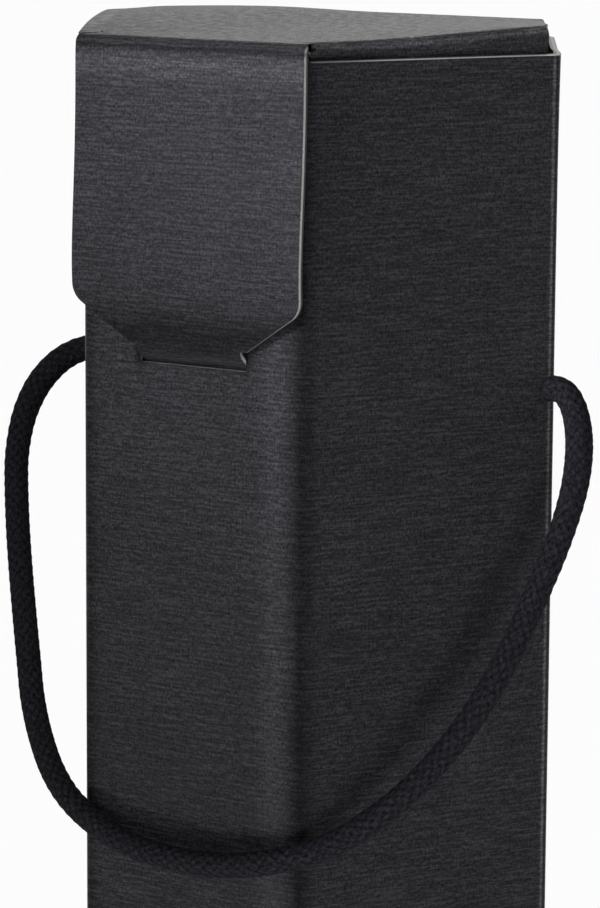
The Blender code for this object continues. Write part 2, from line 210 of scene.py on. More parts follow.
def board_mesh(name, outer, normal, flat, painted_tone, keep=None, lip=0):
    """Closed slab between a grid of outer points P and the inner points P - board * n + lip.
    outer and normal are rows x columns x 3, flat holds each point's place on the unfolded sheet,
    keep says which cells of the grid are board, and every cell edge with board on one side only
    gets a cut face from the outer to the inner skin."""
    rows, columns = outer.shape[:2]
    count = rows * columns
    cells = grid_cells(rows, columns)
    if keep is not None:
        cells = cells[keep.ravel()]
    flat_outer = outer.reshape(-1, 3)
    diagonal = np.cross(
        flat_outer[cells[:, 2]] - flat_outer[cells[:, 0]],
        flat_outer[cells[:, 3]] - flat_outer[cells[:, 1]])
    if np.sum(diagonal * normal.reshape(-1, 3)[cells[:, 0]]) < 0:
        cells = cells[:, ::-1]
    starts, ends = cells.ravel(), np.roll(cells, -1, axis=1).ravel()
    lonely = ~np.isin(starts * count + ends, ends * count + starts)
    starts, ends = starts[lonely], ends[lonely]
    sides = np.stack([ends, starts, starts + count, ends + count], axis=1)
    faces = np.concatenate([cells, cells[:, ::-1] + count, sides])
    skin = np.repeat([0, 1, 2], [len(cells), len(cells), len(sides)])
    points = np.concatenate([flat_outer, (outer - board * normal + lip).reshape(-1, 3)])
    used, faces = np.unique(faces, return_inverse=True)
    faces = faces.reshape(-1, 4)
    piece = new_piece(
        name, points[used].tolist(), faces.tolist(), outside_paper, inside_paper, cut_board)
    mesh = piece.data
    mesh.polygons.foreach_set("material_index", skin.astype(np.int32))
    keep_sheet_places(mesh, np.concatenate([flat.reshape(-1, 2)] * 2)[used][faces.ravel()])
    keep_point_value(mesh, "depth", used >= count)
    keep_point_value(mesh, "painted_tone", np.concatenate([painted_tone.ravel()] * 2)[used])
    mesh.set_sharp_from_angle(angle=sharp_angle)
    return piece


def folded_panel(
        name, path, axes, stations, left, right, columns, lift=None, marks=(), shade=None):
    """Panel between two outlines. With s across the panel and t along the path (a, b), a point is
    A * a(t) + B * b(t) + S * s, where s runs from left(t) to right(t), and lift(P) is added to it.
    A panel of the flat sheet keeps its place (s, t) on the sheet as its UV map."""
    A, B, S = (np.array(axis, float) for axis in axes)
    share = np.linspace(0, 1, columns)[None, :]
    t = np.broadcast_to(stations[:, None], (len(stations), columns))
    low, high = left(stations)[:, None], right(stations)[:, None]
    s = low + (high - low) * share
    a, b, normal_a, normal_b = on_path(path, t)
    outer = a[..., None] * A + b[..., None] * B + s[..., None] * S
    normal = normal_a[..., None] * A + normal_b[..., None] * B
    groove, painted_tone = pressed_lines(t, marks)
    outer = outer - groove[..., None] * normal
    if shade is not None:
        painted_tone = painted_tone + shade(s, t)
    if lift is not None:
        outer = outer + lift(outer, s, t)
    return board_mesh(name, outer, normal, np.stack([s, t], axis=-1), painted_tone)


# %% [markdown]
# The board is covered with black paper that has a fine embossed grain: short raised streaks, all
# running the same way across the sheet. They are the mean of two noises that are stretched along
# one direction of the unfolded sheet, so they run level round the box and across the lid. They are
# lighter than the paper between them and stand up as relief. Finer fibres speckle the paper, and a
# mottle makes it more matt in places.

# %% Helpers for materials
def new_material(name):
    material = bpy.data.materials.new(name)
    material.use_nodes = True
    return material, material.node_tree


def put(tree, value, socket):
    """Links another node's output to a socket, or sets a plain value on it."""
    if hasattr(value, "links"):
        tree.links.new(value, socket)
    else:
        socket.default_value = value


def point_value(tree, name):
    """Number that the mesh keeps for each of its points."""
    node = tree.nodes.new("ShaderNodeAttribute")
    node.attribute_name = name
    return node.outputs["Fac"]


def sheet_noise(tree, stretch, detail):
    """Noise on the unfolded sheet, stretched by two scales, in cells per metre."""
    place = tree.nodes.new("ShaderNodeUVMap")
    place.uv_map = "sheet"
    mapping = tree.nodes.new("ShaderNodeMapping")
    mapping.inputs["Scale"].default_value = (*stretch, 1)
    noise = tree.nodes.new("ShaderNodeTexNoise")
    noise.noise_dimensions = "2D"
    for key, value in (("Scale", 1), ("Detail", detail), ("Roughness", 0.6)):
        noise.inputs[key].default_value = value
    tree.links.new(place.outputs["UV"], mapping.inputs["Vector"])
    tree.links.new(mapping.outputs["Vector"], noise.inputs["Vector"])
    return noise.outputs["Fac"]


def ramp(tree, source, stops):
    """Colour ramp from (position, grey or colour) stops."""
    node = tree.nodes.new("ShaderNodeValToRGB")
    elements = node.color_ramp.elements
    while len(elements) < len(stops):
        elements.new(0.5)
    for element, (position, colour) in zip(elements, stops):
        element.position = position
        element.color = (*colour, 1) if hasattr(colour, "__len__") else (colour, colour, colour, 1)
    tree.links.new(source, node.inputs["Fac"])
    return node.outputs["Color"]


def mixed(tree, blend_type, factor, first, second):
    """Mix of two colours."""
    node = tree.nodes.new("ShaderNodeMix")
    node.data_type = "RGBA"
    node.blend_type = blend_type
    for key, value in ((0, factor), (6, first), (7, second)):
        put(tree, value, node.inputs[key])
    return node.outputs[2]


def tinted(tree, colour, factor):
    return mixed(tree, "MULTIPLY", 1.0, colour, factor)


noise_low, noise_high = 0.3, 0.7


def speckled(tree, colour, noise, least, most):
    """The colour times a factor that follows a noise, from the least to the most."""
    return tinted(tree, colour, ramp(tree, noise, [(noise_low, least), (noise_high, most)]))


def calculated(tree, operation, first, second):
    node = tree.nodes.new("ShaderNodeMath")
    node.operation = operation
    for key, value in enumerate((first, second)):
        put(tree, value, node.inputs[key])
    return node.outputs[0]


def plus(tree, first, second):
    return calculated(tree, "ADD", first, second)


def times(tree, first, second):
    return calculated(tree, "MULTIPLY", first, second)


def dimmed_by(tree, value, strength):
    """1 - value * strength."""
    return calculated(tree, "SUBTRACT", 1.0, times(tree, value, strength))


def bumped(tree, height, distance):
    node = tree.nodes.new("ShaderNodeBump")
    node.inputs["Distance"].default_value = distance
    node.inputs["Strength"].default_value = 1.0
    tree.links.new(height, node.inputs["Height"])
    return node.outputs["Normal"]


def dress(tree, colour, roughness, gloss=None, bump=None):
    """Sets what a surface looks like. Each is a plain value or another node's output."""
    shader = tree.nodes["Principled BSDF"]
    for key, value in (
            ("Base Color", colour), ("Roughness", roughness), ("Specular IOR Level", gloss),
            ("Normal", bump)):
        if value is not None:
            put(tree, value, shader.inputs[key])
    return shader.outputs["BSDF"]


# %% Paper on the outside
outside_paper, tree = new_material("embossed_black_paper")
long_streaks = sheet_noise(tree, (100, 1900), 2)
short_streaks = sheet_noise(tree, (560, 1900), 2)
fibres = sheet_noise(tree, (2200, 1500), 2)
clouds = sheet_noise(tree, (30, 45), 2)
mottle = sheet_noise(tree, (900, 300), 3)
streaks = times(tree, plus(tree, long_streaks, short_streaks), 0.5)
raised = ramp(tree, streaks, [(0.36, 0.0), (0.50, 0.32), (0.62, 1.0)])
low_black, raised_black = (0.0265, 0.0257, 0.0292, 1), (0.0560, 0.0547, 0.0612, 1)
paper_colour = mixed(tree, "MIX", raised, low_black, raised_black)
paper_colour = speckled(tree, paper_colour, fibres, 0.50, 1.45)
paper_colour = speckled(tree, paper_colour, clouds, 0.92, 1.06)
# The mesh's tone paints shade into the creases and the slot, and highlights beside the folds, in a
# few places partly as rubbed paper; it scales the colour and the gloss.
painted_light_and_wear = dimmed_by(tree, point_value(tree, "painted_tone"), 0.7)
matt = plus(tree, times(tree, fibres, 0.5), times(tree, mottle, 0.5))
gloss = plus(tree, times(tree, raised, 0.08), 0.048)
emboss = plus(tree, raised, times(tree, fibres, 0.5))
emboss_height = 0.12 * mm
dress(
    tree, tinted(tree, paper_colour, painted_light_and_wear), calculated(tree, "SUBTRACT", matt, 0.10),
    times(tree, painted_light_and_wear, gloss), bumped(tree, emboss, emboss_height))
print("the streaks stand up by", round(emboss_height / mm, 2), "mm")

# %% Paper on the inside
inside_paper, tree = new_material("plain_black_lining")
lint = sheet_noise(tree, (700, 1400), 3)
lint_colour = ramp(
    tree, lint, [(noise_low, (0.018, 0.018, 0.019)), (noise_high, (0.030, 0.029, 0.029))])
dress(tree, lint_colour, 0.8, 0.25, bumped(tree, lint, 0.03 * mm))

# %% [markdown]
# Where the board is cut, its make-up shows: a dark liner, a pale core of pulp and a dark liner. A
# piece of board carries a value that is 0 on its outer skin and 1 on its inner one, so across a cut
# face it runs from liner to liner, and a colour ramp on it draws the three layers. Ends that lie in
# a fold's shade are darker.

# %% Cut edges
cut_board, tree = new_material("cut_board_edge")
chew = sheet_noise(tree, (2200, 2200), 3)
through = plus(tree, point_value(tree, "depth"), times(tree, chew, 0.16))
layers = ramp(tree, through, [
    (0.16, (0.030, 0.030, 0.031)), (0.22, (0.90, 0.88, 0.84)), (0.62, (0.84, 0.82, 0.78)),
    (0.72, (0.020, 0.020, 0.021))])
layers = speckled(tree, layers, chew, 0.82, 1.08)
lit = dimmed_by(tree, calculated(tree, "MAXIMUM", point_value(tree, "painted_tone"), 0.0), 0.8)
dress(
    tree, tinted(tree, layers, lit), 0.5, times(tree, lit, 0.5), bumped(tree, chew, 0.08 * mm))

# %% [markdown]
# The sleeve is one strip of board that wraps round five corners and is glued to itself. Its
# section is a path seen from above: it starts at the free end of the glue flap, inside the back
# panel, bends into the left back panel, goes round the box, and ends at a cut edge over its own
# start. The strip is a grid of distance round the path by height, so the slot and the cord holes
# are cells left out of that grid.

# %% Path of the sleeve
tangent = bend * math.tan(hexagon_turn / 2)
glue_flap_width = 14 * mm
glue_gap, seam_gap = 0.05 * mm, 0.2 * mm
glue_face = half_depth - board - glue_gap
glue_fold_x = (glue_face / 2 - side_apothem) / sine
glue_start_x = glue_fold_x + tangent + glue_flap_width
left_back_length = math.hypot(-half_width - glue_fold_x, glue_face)
side_run = side_width - 2 * tangent
front_run = front_width - 2 * tangent
seam_x = glue_fold_x + tangent - seam_gap
sleeve_path, sleeve_bends = folded_path(
    (glue_start_x, glue_face), (-1, 0), [
        (glue_flap_width, hexagon_turn), (left_back_length - 2 * tangent, hexagon_turn),
        (side_run, hexagon_turn), (front_run, hexagon_turn), (side_run, hexagon_turn),
        (side_run, hexagon_turn), (half_front - tangent - seam_x, 0)])
corner_at = [(first + last) / 2 for first, last in sleeve_bends]
sleeve_end = sleeve_path[-1, 0]
print("the strip is", round(sleeve_end, 4), "long, with corners at", np.round(corner_at, 4))

# %% Slot and cord holes in the strip
front_middle = (corner_at[2] + corner_at[3]) / 2
slot_half = 12.55 * mm
slot_low, slot_high = 289.25 * mm, 293.4 * mm
hole_reach = 2.65 * mm
hole_spread = hole_reach / math.cos(math.radians(30))
hole_at = (corner_at[1], corner_at[4])
ring_lines = np.array([1, 1.4, 1.9, 2.4])
hole_lines = np.concatenate([-ring_lines[::-1], ring_lines])
print("slot", round(2 * slot_half, 4), "wide, holes at", np.round(hole_at, 4))


def round_the_holes(distance, height):
    """Moves grid lines so that a square of cells round each hole's middle becomes a round one.
    With x and y the offsets in hole radii, m = max(|x|, |y|) and r = |(x, y)|, the offset is scaled
    by m / r at m = 1 and by 1 from the outermost ring line outwards."""
    still = ring_lines[-1]
    for middle in hole_at:
        x, y = (distance - middle) / hole_spread, (height - hole_z) / hole_reach
        square = np.maximum(np.abs(x), np.abs(y))
        radius = np.maximum(np.hypot(x, y), 1e-9)
        fade = np.clip((square - 1) / (still - 1), 0, 1)
        scale = np.where(square < still, square / radius * (1 - fade) + fade, 1)
        distance = middle + x * scale * hole_spread
        height = hole_z + y * scale * hole_reach
    return distance, height


# %% Upper and lower edge of the strip
def outline_of(pairs):
    """The stations of an outline's corners, and its value at any station between them."""
    stations, values = (np.array(column) for column in zip(*pairs))
    return stations, lambda t: np.interp(t, stations, values)


def notch(middle, before, after, level, floor):
    """An edge at one level steps to a notch's floor and back."""
    return [
        (middle - before - step, level), (middle - before, floor), (middle + after, floor),
        (middle + after + step, level)]


step = 0.3 * mm
slant = glue_flap_width * math.tan(math.radians(30))
glue_foot, glue_top = 8 * mm, 342 * mm
first_fold = sleeve_bends[0][0]
front_top = 351.6 * mm
front_reach = 0.9 * mm
back_middle = sleeve_end + seam_x
dust_front_end, dust_back_end = 25.5 * mm, 23.5 * mm
dust_pivot = 3.9 * mm
foot_offset = half_width * cosine
left_foot, right_foot = corner_at[1] + foot_offset, corner_at[4] - foot_offset
_, upper_edge = outline_of([
    (0, glue_top - slant), (first_fold, glue_top), (first_fold + step, wall_top),
    (corner_at[2] - front_reach, wall_top), (corner_at[2] + front_reach, front_top),
    (corner_at[3] - front_reach, front_top), (corner_at[3] + front_reach, wall_top),
    *notch(back_middle, hinge_half_width, hinge_half_width, wall_top, lid_pivot - margin),
    (sleeve_end, wall_top)])
_, lower_edge = outline_of([
    (0, glue_foot + slant), (first_fold, glue_foot), (first_fold + step, 0),
    *notch(left_foot, dust_back_end, dust_front_end, 0, dust_pivot + margin),
    *notch(right_foot, dust_front_end, dust_back_end, 0, dust_pivot + margin),
    *notch(back_middle, hinge_half_width, hinge_half_width, 0, bend + margin),
    (sleeve_end, 0)])
print("the back's middle is", round(back_middle, 4), "along the strip")

# %% Grid of the strip
least_step = 0.02 * mm
column_lines = [front_middle - slot_half, front_middle + slot_half, first_fold + step]
for first, last in sleeve_bends:
    column_lines += list(np.linspace(first, last, 13))
for middle in hole_at:
    column_lines += list(middle + hole_spread * hole_lines)
for middle, ends in (
        (left_foot, (dust_front_end, dust_back_end)), (right_foot, (dust_front_end, dust_back_end)),
        (back_middle, (hinge_half_width,))):
    for end in ends:
        column_lines += [middle - end - step, middle - end, middle + end, middle + end + step]
columns_at = thinned(spaced(0, sleeve_end, 2 * mm, column_lines), least_step)
low_row, high_row = 9 * mm, 340 * mm
row_lines = [slot_low - 0.7 * mm, slot_low, slot_high, low_row, high_row]
row_lines += list(hole_z + hole_reach * np.concatenate([hole_lines, np.linspace(-0.75, 0.75, 7)]))
rows_at = thinned(spaced(0, front_top, 4 * mm, row_lines), least_step)
distance, height = np.meshgrid(columns_at, rows_at)
middle_distance = (distance[:-1, :-1] + distance[1:, 1:]) / 2
middle_height = (height[:-1, :-1] + height[1:, 1:]) / 2
open_cells = (
    (np.abs(middle_distance - front_middle) < slot_half)
    & (middle_height > slot_low) & (middle_height < slot_high))
for middle in hole_at:
    open_cells |= (
        (np.abs(middle_distance - middle) < hole_spread)
        & (np.abs(middle_height - hole_z) < hole_reach))
distance, height = round_the_holes(distance, height)
top, foot = upper_edge(distance), lower_edge(distance)
stretched_up = high_row + (height - high_row) * (top - high_row) / (front_top - high_row)
stretched_down = low_row - (low_row - height) * (low_row - foot) / low_row
height = np.where(height > high_row, stretched_up, height)
height = np.where(height < low_row, stretched_down, height)
x, y, normal_x, normal_y = on_path(sleeve_path, distance)
outer = np.stack([x, y, height], axis=-1)
normal = np.stack([normal_x, normal_y, np.zeros_like(x)], axis=-1)
print("grid of", len(rows_at), "rows and", len(columns_at), "columns")

# %% [markdown]
# A creased corner has a fine groove with painted shade in it, between two lighter lines that are
# partly paper rubbed lighter and partly painted highlights. The corner that faces the viewer is a
# soft, wide one with a band of painted shade, and painted light on the front panel beside it; the
# one on its left has only a little painted shade. The big panels are never quite flat, so they sway
# by a tenth of a millimetre between their corners. The slot's ends and its lower lip get painted
# shade. The top edge is crushed by a third of a millimetre, and flares out beside one corner.

# %% Painted shade, highlights and warp of the strip
# The corner marks paint shade in the grooves and bands, and highlights along the ridges.
soft_corner = ((-6.8, 3.0, 0, -0.6), (-0.6, 2.3, 0, 0.8))
edge_corner = ((0.4, 1.8, 0, 0.6),)
sharp_corner = ((-0.95, 0.28, 0, -3.5), (-0.25, 0.4, 0.14, 0.5), (0.75, 0.4, 0, -1.4))
corner_marks = []
for middle, marks in zip(corner_at, (
        sharp_corner, sharp_corner, edge_corner, soft_corner, sharp_corner, sharp_corner)):
    corner_marks += marks_at(middle, *marks)
groove, painted_tone = pressed_lines(distance, corner_marks)
sway = 0.10 * mm * np.sin(distance / (17 * mm) + 3 * np.sin(height / (90 * mm)))
from_corner = np.min(np.abs(distance[..., None] - np.array(corner_at)), axis=-1)
sway = sway * np.clip(from_corner / (8 * mm), 0, 1)
sway = sway * np.sin(math.pi * np.clip(height / wall_top, 0, 1))
flare_reach = 7 * mm
flare = 0.45 * mm * np.exp(-(wall_top - height) / (22 * mm)) * np.exp(
    -((distance - corner_at[4] - 6 * mm) / flare_reach) ** 2)
slot_middle, slot_spread = 291 * mm, 2.6 * mm
# Painted shade at the slot's ends and along its lower lip.
for end, reach in ((front_middle - slot_half, 1.3 * mm), (front_middle + slot_half, 0.7 * mm)):
    painted_tone = painted_tone + 1.2 * np.exp(
        -((distance - end) / reach) ** 2 - ((height - slot_middle) / slot_spread) ** 2)
lip_reach = 0.4 * mm
slot_lip = np.exp(-((height - slot_low) / lip_reach) ** 2)
painted_tone = painted_tone + 0.25 * slot_lip * (np.abs(distance - front_middle) < slot_half)
outer = outer + normal * (sway + flare - groove)[..., None]
crushed = 0.35 * mm * (rows_at == rows_at[-1])[:, None, None] * np.array([0, 0, 1.0])

# %% The strip itself
sleeve = board_mesh(
    "sleeve_board", outer - crushed, normal, np.stack([distance, height], axis=-1), painted_tone,
    keep=~open_cells, lip=crushed)
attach(sleeve, "sleeve")
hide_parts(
    "front_wall", "front_right_wall", "back_right_wall", "back_wall", "back_left_wall",
    "front_left_wall", "glue_flap")

# %% [markdown]
# The lid, its front flap and the tongue are one tab of the same sheet, so they share one path in
# the upright plane through the box's middle: up the back panel, over the lid, down the front, and
# back inside through the slot. The outline is a half width at each distance along that path. The
# tab is parted into stiff panels, which ride on their bodies, and creases between them, which are
# made in place and ride on no body.

# %% Path of the lid tab
quarter = math.pi / 2
flap_face = 50.497 * mm
lid_run = half_depth + flap_face - 2 * bend
flap_run = 58.0 * mm
tongue_run = 13.0 * mm
tongue_turn = math.radians(50)
tab_path, tab_bends = folded_path(
    (half_depth, lid_pivot - margin), (0, 1),
    [(margin, quarter), (lid_run, quarter), (flap_run, tongue_turn), (tongue_run, 0)])
back_bend, front_bend, tongue_bend = tab_bends
tab_end = tab_path[-1, 0]
tab_axes = ((0, 1, 0), (0, 0, 1), (1, 0, 0))
print("the lid tab is", round(tab_end, 4), "long")


# %% Outline of the lid tab
def station_at(y, first_bend):
    """Distance along a tab at which its first panel reaches a given y."""
    return first_bend[1] + (half_depth - bend - y)


def rounded_corner(station, half, radius, turn):
    """Points (distance, half width) on a corner's arc about (station, half)."""
    angles = np.linspace(0, turn, 9)
    return [(station + radius * math.sin(a), half + radius * math.cos(a)) for a in angles]


edge_gap = 0.02 * mm
relief_y = 44.397 * mm
hinge_relief = station_at(relief_y, back_bend)
side_corner = station_at(2.25 * mm, back_bend)
shoulder = station_at(-46.1 * mm, back_bend)
relief_half, corner_half, shoulder_half = 25.7 * mm, 50.05 * mm, 22.13 * mm
flap_half_width = 26.6 * mm
flap_corner = front_bend[1] + 49.4 * mm
flap_radius, tip_radius = 4.5 * mm, 4 * mm
root_half, tongue_half = 13.6 * mm, 12.25 * mm
diagonal = math.atan2(flap_half_width - root_half, tongue_bend[0] - flap_corner)
tab_outline = outline_of([
    (0, hinge_half_width), (hinge_relief, hinge_half_width), (hinge_relief + edge_gap, relief_half),
    (side_corner, corner_half), (shoulder, shoulder_half), (shoulder + edge_gap, flap_half_width),
    *rounded_corner(
        flap_corner - flap_radius * math.tan(diagonal / 2), flap_half_width - flap_radius,
        flap_radius, diagonal),
    (tongue_bend[0] - edge_gap, root_half), (tongue_bend[0] + edge_gap, tongue_half),
    *rounded_corner(tab_end - tip_radius, tongue_half - tip_radius, tip_radius, quarter)])
print("the flap's cut corners slant by", round(math.degrees(diagonal), 1), "degrees")


# %% How the lid and the flap are warped
def smooth_step(value):
    value = np.clip(value, 0, 1)
    return value * value * (3 - 2 * value)


fold_share = 0.25
right_rise_mm, left_rise_mm, corner_dip_mm = 2.0, 1.95, 0.35
fold_out_mm, less_at_back_mm, more_in_front_mm = 4.3, 0.6, 0.5
half_side_mm = 26


def lid_lift(points, s, t, share=fold_share):
    """The lid has sprung up along its sides, and its left fold lies out over the panel's cut edge.
    In millimetres, the rise is right_rise (x/50)^1.5 on the right, fading to the two creases as a
    squared cosine, and left_rise (1 - |v|^3) on the left, where v runs from -1 at the front crease
    to 1 at the back one. The left side also shifts outwards, more and more towards its fold. The
    panel takes only a share of that, and so stays clear of the dust flap when the flap turns."""
    x, y = points[..., 0] / mm, points[..., 1] / mm
    fade = np.cos(np.clip((y - 2) / 46, -1, 1) * quarter) ** 2
    right_rise = right_rise_mm * fade * np.clip(x / 50, 0, None) ** 1.5
    v = np.clip((y + 0.75) / 47.25, -1, 1)
    corner_dip = corner_dip_mm * np.exp(-((x + 50) ** 2 + (y - 2) ** 2) / 25)
    left_rise = left_rise_mm * (1 - np.abs(v) ** 3) * smooth_step(-x / 32) - corner_dip
    out, along = -x * sine - y * cosine, (-x * cosine + y * sine) / half_side_mm
    shift = fold_out_mm - less_at_back_mm * np.clip(along, 0, 1)
    shift = shift + more_in_front_mm * np.clip(-along, 0, 1)
    shift = shift * smooth_step((out - 14) / 26) * smooth_step((y + 47.9) / (3.9 - 2 * share))
    shift = shift * (1 - smooth_step((-x - 22.6) / 3) * smooth_step((-44 - y) / 2)) * share
    return np.stack([-shift * sine, -shift * cosine, right_rise + left_rise], axis=-1) * mm


flap_bow = 1.5 * mm


def flap_lift(points, s, t):
    """The flap bows out, by flap_bow * sin(pi (t / length)^2.3)."""
    share = np.clip((t - front_bend[1] - margin) / (flap_run - 2 * margin), 0, 1)
    return (flap_bow * np.sin(math.pi * share ** 2.3))[..., None] * np.array([0, -1.0, 0])


# %% Marks of the creases on the lid tab
# The marks groove the creases and paint shade in and beside them, a highlight on the flap just
# below the front fold, shade on the flap's foot above the tongue, and light on the tongue where it
# goes into the slot.
tab_marks = marks_at(sum(back_bend) / 2, (0, 0.6, 0.14, 0.4), (0, 2.0, 0, 0.3))
tab_marks += marks_at(front_bend[0], (0.9, 1.2, 0, 0.5))
tab_marks += marks_at(front_bend[1], (-0.1, 0.6, 0.14, 0.9), (3.2, 2.4, 0, -0.75))
tab_marks += marks_at(tongue_bend[0], (-2.0, 5.0, 0, 0.8))
tab_marks += marks_at(tongue_bend[1], (1.4, 1.3, 0, -0.4), (4.1, 1.2, 0, -1.2))
shade_middle, shade_reach = (shoulder + front_bend[0]) / 2, 2.2 * mm


def shoulder_shade(s, t):
    """The board's ends beside the dust flaps lie in the fold's shade."""
    near = np.exp(-((t - shade_middle) / shade_reach) ** 4)
    return 1.1 * near * smooth_step((np.abs(s) - 24.2 * mm) / (1.8 * mm))


def finish_panel(piece, body, node):
    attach(piece, body)
    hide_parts(node)


def finish_crease(piece):
    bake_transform(piece)


def build_tab(path, axes, outline, marks, panels, creases, crease_spacing, shade=None):
    """Makes a tab's stiff panels and the creases between them. Half a millimetre of board on either
    side of a bend belongs to the crease."""
    corners, half = outline

    def make(name, start, end, spacing, columns, lift=None):
        stations = thinned(spaced(start, end, spacing, corners), 0.005 * mm)
        return folded_panel(
            name, path, axes, stations, lambda t: -half(t), half, columns, lift, marks, shade)

    for name, body, node, start, end, spacing, columns, lift in panels:
        finish_panel(make(name, start, end, spacing, columns, lift), body, node)
    for name, bend_stations, before, after in creases:
        start, end = bend_stations[0] - margin, bend_stations[1] + margin
        finish_crease(
            make(name, start, end, crease_spacing, 31))


# %% Panels and creases of the lid tab
build_tab(
    tab_path, tab_axes, tab_outline, tab_marks,
    [("lid_board", "lid", "lid_panel", back_bend[1] + margin, front_bend[0] - margin, 2 * mm, 41,
      lid_lift),
     ("front_flap_board", "lid_flap", "front_flap", front_bend[1] + margin,
      tongue_bend[0] - margin, 2 * mm, 31, flap_lift),
     ("tongue_board", "tongue", "tuck_tongue", tongue_bend[1] + margin, tab_end, 1 * mm, 17, None)],
    [("lid_back_crease", back_bend, "sleeve", "lid"),
     ("lid_front_crease", front_bend, "lid", "lid_flap"),
     ("tongue_crease", tongue_bend, "lid_flap", "tongue")], 0.15 * mm, shoulder_shade)

# %% [markdown]
# A dust flap hangs from each front side edge of the lid and stands inside the panel below, which
# keeps the lid from being pushed in. It bends a little more than square, so it slides in easily.

# %% Path and outline of the lid's dust flaps
def tip_inset(t, end, length, depth):
    """How far an outline draws in at a rounded tip: depth * (1 - sqrt(1 - c^2)), where c grows from
    0 to 1 over the tip's length."""
    c = np.clip((t - end) / length + 1, 0, 1)
    return depth * (1 - np.sqrt(1 - c ** 2))


dust_turn = math.radians(98)
lid_edge = side_apothem - board - 0.8 * mm
lid_dust_run = 11.5 * mm
lid_dust_ends = (-26.86 * mm, 25.97 * mm)
lid_dust_radius = 2 * mm
lid_dust_taper, lid_dust_tip = 3.5 * mm, 1.8 * mm
dust_start = 42.215 * mm
dust_path, dust_bends = folded_path(
    (lid_top, dust_start), (0, 1), [(lid_edge - bend - dust_start, dust_turn), (lid_dust_run, 0)])
dust_bend = dust_bends[0]
lid_dust_end = dust_path[-1, 0]
# The fold's marks groove it and paint a little shade there, a highlight along its ridge and a
# lighter band on the flap below.
dust_marks = marks_at(sum(dust_bend) / 2, (-0.7, 0.5, 0.06, 0.2), (0.45, 0.5, 0, -1.8))
dust_marks += marks_at(dust_bend[1], (3.0, 4.0, 0, -0.5))


def lid_dust_front(t):
    down = np.clip((t - dust_bend[1]) / lid_dust_run, 0, 1)
    tip = lid_dust_tip * np.clip(1 - t / dust_bend[1], 0, 1)
    return lid_dust_ends[0] - tip + lid_dust_taper * down + tip_inset(
        t, lid_dust_end, lid_dust_radius, lid_dust_radius)


def lid_dust_back(t):
    return lid_dust_ends[1] - tip_inset(t, lid_dust_end, lid_dust_radius, lid_dust_radius)


def dust_lift(side):
    """A dust flap moves with the lid's edge that it hangs from. The outward shift grows and fades
    within the fold, so the flap below goes straight down inside the panel and turns cleanly when it
    opens."""
    fold_start, fold_end = dust_bend[0] + 0.6 * mm, dust_bend[1] + margin

    def lift(points, s, t):
        crease_point = np.stack([
            side * (sine * dust_start + cosine * s), -cosine * dust_start + sine * s,
            np.zeros_like(s)], axis=-1)
        tucked = 1 - smooth_step((t - fold_start) / (fold_end - fold_start))
        grown = smooth_step(t / (dust_bend[0] + 0.9 * mm))
        tucked = tucked * (fold_share + (1 - fold_share) * grown)
        tucked = np.stack([tucked, tucked, np.ones_like(tucked)], axis=-1)
        return lid_lift(crease_point, s, t, 1.0) * tucked
    return lift


# %% Dust flaps of the lid
def dust_flaps(kind, axes_for, path, bend_stations, spacing, outline, marks, lift_for):
    """The left and the right dust flap of the lid or the base, each a panel and its crease. The
    axes are given for the direction out of a flap's side, and the lift for that side, -1 or 1."""
    fold_end, end = bend_stations[1] + margin, path[-1, 0]
    for side, word in ((-1, "left"), (1, "right")):
        axes = axes_for((side * sine, -cosine, 0)) + ((side * cosine, sine, 0),)
        body = kind + "_dust_flap_" + word
        flap, strip = (
            folded_panel(
                kind + part + word, path, axes, stations, *outline, 25, lift_for(side), marks)
            for part, stations in (
                ("_dust_board_", spaced(fold_end, end, spacing)),
                ("_dust_crease_", spaced(0, fold_end, 0.22 * mm, bend_stations))))
        finish_panel(flap, body, kind + "_dust_" + word)
        finish_crease(strip)


dust_flaps(
    "lid", lambda outward: ((0, 0, 1), outward), dust_path, dust_bend, 0.8 * mm,
    (lid_dust_front, lid_dust_back), dust_marks, dust_lift)

# %% [markdown]
# The base is a tab of the back panel too. It folds up flat under the bottle, and its tuck flap goes
# up inside the front panel. The two dust flaps of the base fold in above it.

# %% Path and outline of the base tab
tuck_turn = math.radians(100)
base_fit = 0.5 * mm
tuck_face = half_depth - board - base_fit
base_edge = side_apothem - board - base_fit
base_run = half_depth + tuck_face - 2 * bend
tuck_run = 14.5 * mm
base_path, base_bends = folded_path(
    (half_depth, -bend - margin), (0, 1), [(margin, quarter), (base_run, tuck_turn), (tuck_run, 0)])
base_axes = ((0, 1, 0), (0, 0, -1), (1, 0, 0))
base_back_bend, base_front_bend = base_bends
base_end = base_path[-1, 0]
base_relief = station_at(relief_y, base_back_bend)
base_fold_y = -tuck_face + bend + 2 * mm
base_fold = station_at(base_fold_y, base_back_bend)
tuck_half, tuck_radius = 22 * mm, 6 * mm
base_outline = outline_of([
    (0, hinge_half_width), (base_relief, hinge_half_width), (base_relief + edge_gap, half_front),
    (station_at(0, base_back_bend), base_edge / sine),
    (base_fold, (base_edge + base_fold_y * cosine) / sine), (base_fold + edge_gap, tuck_half),
    *rounded_corner(base_end - tuck_radius, tuck_half - tuck_radius, tuck_radius, quarter)])
# Each crease of the base is grooved, with painted shade in and beside it.
base_marks = [
    mark for stations in base_bends
    for mark in marks_at(sum(stations) / 2, (0, 0.5, 0.14, 0.5), (0, 2.0, 0, 0.3))]
print("the base tab is", round(base_end, 4), "long")

